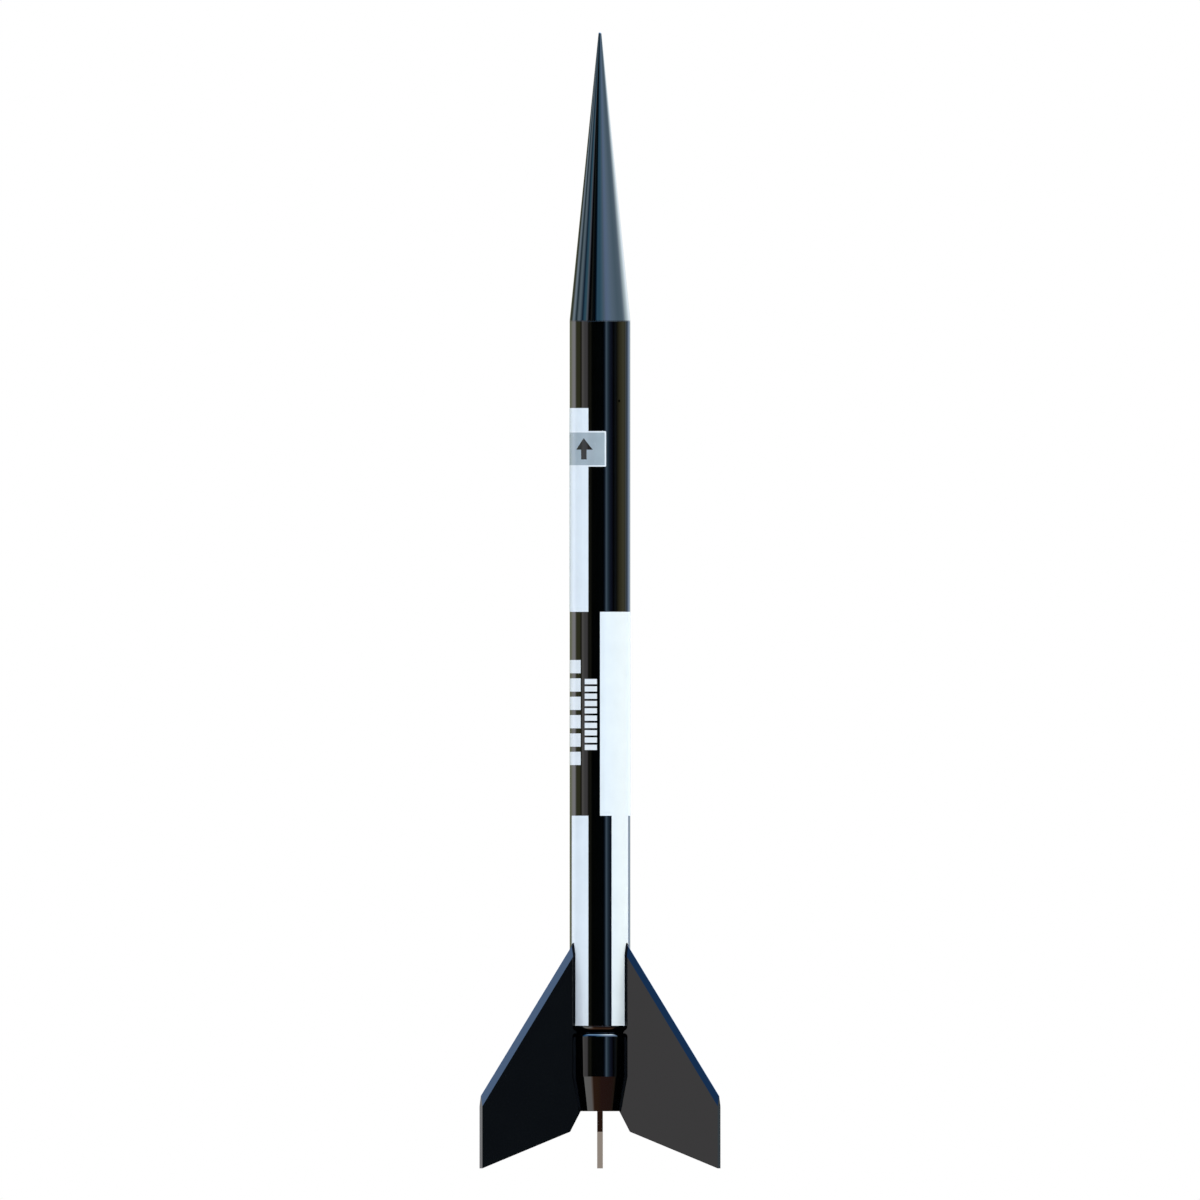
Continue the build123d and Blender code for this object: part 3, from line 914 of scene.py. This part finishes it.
# ---------------------------------------------------------------- CAD nodes

NODE_FINISHES = {
    "fin_right": (wood_paint, "gloss_black_wood"),
    "fin_left": (wood_paint, "gloss_black_wood"),
    "fin_rear": (wood_paint, "gloss_black_wood"),
    "launch_lug_aft": (tube_paint, "lug_paper"),
    "launch_lug_forward": (tube_paint, "lug_paper"),
    "white_band_upper": (white_film, "white_vinyl"),
    "white_band_middle": (white_film, "white_vinyl"),
    "white_stripes_lower": (white_film, "white_vinyl"),
    "marking_decal": (mark_film, "white_print"),
    "motor_tube": (tube_kraft, "kraft_paper"),
    "thrust_ring": (ring_board, "kraft_ring"),
    "forward_centering_ring": (ring_board, "kraft_ring"),
    "aft_centering_ring": (ring_board, "kraft_ring"),
    "shock_cord_mount": (anchor_kraft, "anchor_paper"),
    "nose_base_plug": (plug_plastic, "plug_plastic"),
    "nose_weight": (weight_clay, "clay"),
}
EDGE_ROUNDS = {
    "fin_right": 0.15,
    "fin_left": 0.15,
    "fin_rear": 0.15,
    "launch_lug_aft": 0.06,
    "launch_lug_forward": 0.06,
    "motor_tube": 0.06,
    "thrust_ring": 0.1,
    "forward_centering_ring": 0.1,
    "aft_centering_ring": 0.1,
    "nose_base_plug": 0.25,
}

for node_name, (node_material, node_slot) in NODE_FINISHES.items():
    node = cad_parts[node_name]
    node.data.materials.clear()
    node.data.materials.append(node_material)
    if node_name in EDGE_ROUNDS:
        soften(node, EDGE_ROUNDS[node_name])


# ---------------------------------------------------------------- studio

FLOOR_HALF_SIZE = 8.0
CAMERA_DISTANCE = 2.0
VIEW_SIZE = 0.672
VIEW_HEIGHT = 0.28631
RADIANCE_PEAK = 8.0
# The surroundings count as one bounce more than the surface that reflects them
FIRST_BOUNCE_LIMIT = 2.5

# What gloss paint sees of the studio, as a bearing and a colour, from straight behind round by the left and
# the front. The three lists are for eye level, for a little above it, and for below it. They weren't chosen
# by hand: a scratch script worked them out from the photograph's colours across the tube, the nose and the
# boat tail, and some were then changed by hand.
STUDIO_LEVEL = [
    (-180, (0.35, 0.37, 0.25)),
    (-152, (0.35, 0.38, 0.24)),
    (-138, (0.87, 0.91, 0.69)),
    (-113, (2.3, 2.28, 2.45)),
    (-107, (1.6, 1.6, 1.55)),
    (-102, (0.4, 0.42, 0.22)),
    (-84, (0.5, 0.53, 0.27)),
    (-79, (0.22, 0.21, 0.12)),
    (-75, (0.3, 0.28, 0.22)),
    (-71, (1.6, 1.55, 1.5)),
    (-60, (1.02, 1.0, 1.02)),
    (-50, (1.0, 0.95, 1.0)),
    (-45, (0.12, 0.12, 0.09)),
    (-36, (0.15, 0.15, 0.1)),
    (-30, (0.01, 0.015, 0.01)),
    (13, (0.01, 0.02, 0.025)),
    (18, (0.07, 0.15, 0.29)),
    (25, (1.15, 1.75, 2.45)),
    (29, (0.4, 0.75, 1.1)),
    (37, (0.14, 0.23, 0.43)),
    (45, (0.08, 0.1, 0.22)),
    (53, (0.01, 0.01, 0.01)),
    (61, (0.09, 0.12, 0.16)),
    (67, (0.08, 0.08, 0.06)),
    (81, (0.51, 0.47, 0.24)),
    (100, (0.72, 0.7, 0.43)),
    (109, (0.4, 0.4, 0.27)),
    (116, (0.65, 0.73, 0.7)),
    (123, (0.21, 0.33, 0.5)),
    (142, (0.96, 1.25, 1.72)),
    (157, (0.9, 1.08, 1.2)),
    (180, (0.4, 0.42, 0.35)),
]
STUDIO_HIGH = [
    (-180, (0.03, 0.03, 0.02)),
    (-143, (0.03, 0.04, 0.02)),
    (-136, (0.16, 0.2, 0.13)),
    (-127, (1.05, 1.3, 1.45)),
    (-119, (1.7, 2.2, 2.7)),
    (-103, (0.05, 0.2, 0.3)),
    (-90, (1.75, 2.4, 2.85)),
    (-84, (1.55, 2.2, 2.75)),
    (-72, (0.04, 0.18, 0.48)),
    (-62, (0.55, 1.54, 2.38)),
    (-57, (0.67, 1.68, 2.25)),
    (-52, (1.8, 2.1, 2.65)),
    (-45, (0.04, 0.03, 0.04)),
    (-38, (0.01, 0.01, 0.01)),
    (-33, (0.25, 0.28, 0.25)),
    (-29, (0.04, 0.08, 0.1)),
    (-20, (0.01, 0.03, 0.05)),
    (-16, (0.04, 0.22, 0.5)),
    (-11, (0.54, 1.48, 2.36)),
    (-2, (0.5, 1.45, 2.33)),
    (6, (0.9, 2.0, 2.97)),
    (15, (1.53, 2.33, 3.25)),
    (24, (2.05, 2.98, 4.86)),
    (33, (2.12, 3.2, 4.9)),
    (50, (1.95, 2.85, 3.9)),
    (73, (1.34, 2.1, 2.8)),
    (96, (1.34, 1.95, 2.55)),
    (105, (1.9, 2.5, 3.15)),
    (111, (3.0, 3.7, 4.2)),
    (118, (3.52, 4.36, 4.78)),
    (150, (4.2, 4.5, 4.8)),
    (180, (4.2, 4.5, 4.8)),
]
STUDIO_LOW = [
    (-180, (1.77, 1.72, 1.56)),
    (-130, (1.7, 1.5, 1.3)),
    (-70, (2.3, 2.35, 2.3)),
    (-38, (2.3, 2.2, 2.15)),
    (-33, (1.8, 1.4, 1.2)),
    (-27, (0.52, 0.24, 0.14)),
    (-7, (0.46, 0.22, 0.12)),
    (5, (0.38, 0.16, 0.13)),
    (50, (0.32, 0.15, 0.12)),
    (60, (0.28, 0.18, 0.12)),
    (66, (0.04, 0.03, 0.03)),
    (90, (0.3, 0.2, 0.15)),
    (130, (1.0, 0.8, 0.7)),
    (180, (1.77, 1.72, 1.56)),
]
STUDIO_TOP_LEFT = (0.0, 0.75, 2.8)
STUDIO_TOP_RIGHT = (1.95, 3.3, 5.9)
STUDIO_ZENITH_LEFT = (3.9, 7.0, 11.0)
STUDIO_ZENITH_RIGHT = (15.5, 19.0, 21.5)
STUDIO_DEEP = (1.1, 0.55, 0.3)
STUDIO_NADIR = (0.42, 0.19, 0.12)

# Where each part of the studio starts to show and where it has taken over, as the sine of the elevation.
# The sides say where its left half starts to turn into its right half and where it has.
HIGH_SPAN = (0.0, 0.09)
TOP_SPAN = (0.25, 0.6)
TOP_SIDES = (-0.7, 0.7)
ZENITH_SPAN = (0.6, 0.9)
ZENITH_SIDES = (-0.2, 0.45)
LOW_SPAN = (-0.04, -0.16)
DEEP_SPAN = (-0.5, -0.85)
NADIR_SPAN = (-0.8, -0.88)

# The soft light that falls on white and matte things, as a bearing and a colour. The list began as a scratch
# script's fit to the photograph's white bands, and was then shortened and rounded by hand.
SOFT_LIGHT = [
    (-180, (0.5, 0.5, 0.6)),
    (-120, (0.6, 0.7, 0.85)),
    (-80, (1.1, 1.3, 1.45)),
    (-50, (0.6, 0.7, 0.75)),
    (-10, (0.95, 1.0, 1.15)),
    (30, (1.35, 1.6, 1.85)),
    (70, (1.8, 1.8, 1.15)),
    (105, (0.95, 0.9, 1.0)),
    (130, (0.7, 0.75, 1.2)),
    (180, (0.5, 0.5, 0.6)),
]


def dimmed(colour):
    """A colour as a share of the strength that all the studio's light is multiplied by."""
    return tuple(channel / RADIANCE_PEAK for channel in colour)


def studio_band(tree, turn, stops):
    """The surroundings at one height, from a list of bearings and colours."""
    return ramp(tree, turn, *[(bearing / 360 + 0.5, dimmed(colour)) for bearing, colour in stops])


def studio_half(tree, sideways, sides, left, right):
    """The surroundings far up, which only differ from left to right."""
    return mixed(tree, between(tree, sideways, *sides), dimmed(left), dimmed(right))


def fading_down(tree, value, start, end):
    """0 above a start, and 1 below an end that lies under it."""
    return between(tree, value, end, start, 1.0, 0.0)


def studio_reflection(tree, xyz, turn):
    """What gloss paint sees in a direction."""
    sideways, up = xyz["X"], xyz["Z"]
    top = studio_half(tree, sideways, TOP_SIDES, STUDIO_TOP_LEFT, STUDIO_TOP_RIGHT)
    zenith = studio_half(tree, sideways, ZENITH_SIDES, STUDIO_ZENITH_LEFT, STUDIO_ZENITH_RIGHT)
    seen = studio_band(tree, turn, STUDIO_LEVEL)
    seen = mixed(tree, between(tree, up, *HIGH_SPAN), seen, studio_band(tree, turn, STUDIO_HIGH))
    seen = mixed(tree, between(tree, up, *TOP_SPAN), seen, top)
    seen = mixed(tree, between(tree, up, *ZENITH_SPAN), seen, zenith)
    seen = mixed(tree, fading_down(tree, up, *LOW_SPAN), seen, studio_band(tree, turn, STUDIO_LOW))
    seen = mixed(tree, fading_down(tree, up, *DEEP_SPAN), seen, dimmed(STUDIO_DEEP))
    return mixed(tree, fading_down(tree, up, *NADIR_SPAN), seen, dimmed(STUDIO_NADIR))


def background(tree, colour, strength):
    """Light of a colour from all round."""
    return add_node(tree, "ShaderNodeBackground", {"Color": colour, "Strength": strength}).outputs[0]


def chosen(tree, share, first, second):
    """The first shader where the share is 0, and the second where it is 1."""
    return add_node(tree, "ShaderNodeMixShader", {0: share, 1: first, 2: second}).outputs[0]


def make_studio():
    """A plain white backdrop, a soft light, and the dark and bright surroundings that gloss paint reflects.
    Only first reflections are lit, so places that face each other stay black."""
    world = bpy.data.worlds.new("studio")
    bpy.context.scene.world = world
    world.use_nodes = True
    world.cycles.sampling_method = "NONE"
    tree = world.node_tree
    tree.nodes.clear()
    direction = add_node(tree, "ShaderNodeTexCoord").outputs["Generated"]
    xyz = add_node(tree, "ShaderNodeSeparateXYZ", {"Vector": direction}).outputs
    forward = math_node(tree, "MULTIPLY", xyz["Y"], -1.0)
    bearing = math_node(tree, "ARCTAN2", xyz["X"], forward)
    turn = math_node(tree, "ADD", math_node(tree, "DIVIDE", bearing, 2 * math.pi), 0.5)
    path = add_node(tree, "ShaderNodeLightPath").outputs
    first_bounce = math_node(tree, "LESS_THAN", path["Ray Depth"], FIRST_BOUNCE_LIMIT)
    strength = math_node(tree, "MULTIPLY", first_bounce, RADIANCE_PEAK)
    reflected = background(tree, studio_reflection(tree, xyz, turn), strength)
    soft = background(tree, studio_band(tree, turn, SOFT_LIGHT), RADIANCE_PEAK)
    backdrop = background(tree, (1, 1, 1, 1), 1.0)
    light = chosen(tree, path["Is Diffuse Ray"], reflected, soft)
    everything = chosen(tree, path["Is Camera Ray"], light, backdrop)
    add_node(tree, "ShaderNodeOutputWorld", {"Surface": everything})


def make_floor():
    """A plain pale floor that gloss paint doesn't reflect."""
    half = FLOOR_HALF_SIZE / MM
    corners = [(x * half, y * half, FLOOR_LEVEL) for x, y in ((-1, -1), (1, -1), (1, 1), (-1, 1))]
    floor = make_mesh("floor", corners, [(0, 1, 2, 3)])
    material, shader = new_material("pale_floor", roughness=0.9)
    tree = material.node_tree
    tone = mottled(tree, 3, (0.86, 0.86, 0.87), (0.88, 0.88, 0.88))
    tree.links.new(tone, shader.inputs["Base Color"])
    floor.data.materials.append(material)
    floor.visible_glossy = False


def make_camera():
    """A camera straight in front, without perspective."""
    data = bpy.data.cameras.new("camera")
    data.type = "ORTHO"
    data.ortho_scale = VIEW_SIZE
    data.clip_end = 100
    camera = bpy.data.objects.new("camera", data)
    bpy.context.scene.collection.objects.link(camera)
    camera.location = (0, -CAMERA_DISTANCE, VIEW_HEIGHT)
    camera.rotation_euler = (math.radians(90), 0, 0)
    bpy.context.scene.camera = camera


make_studio()
make_floor()
make_camera()
bpy.context.scene.view_settings.view_transform = "Standard"

bpy.context.view_layer.update()
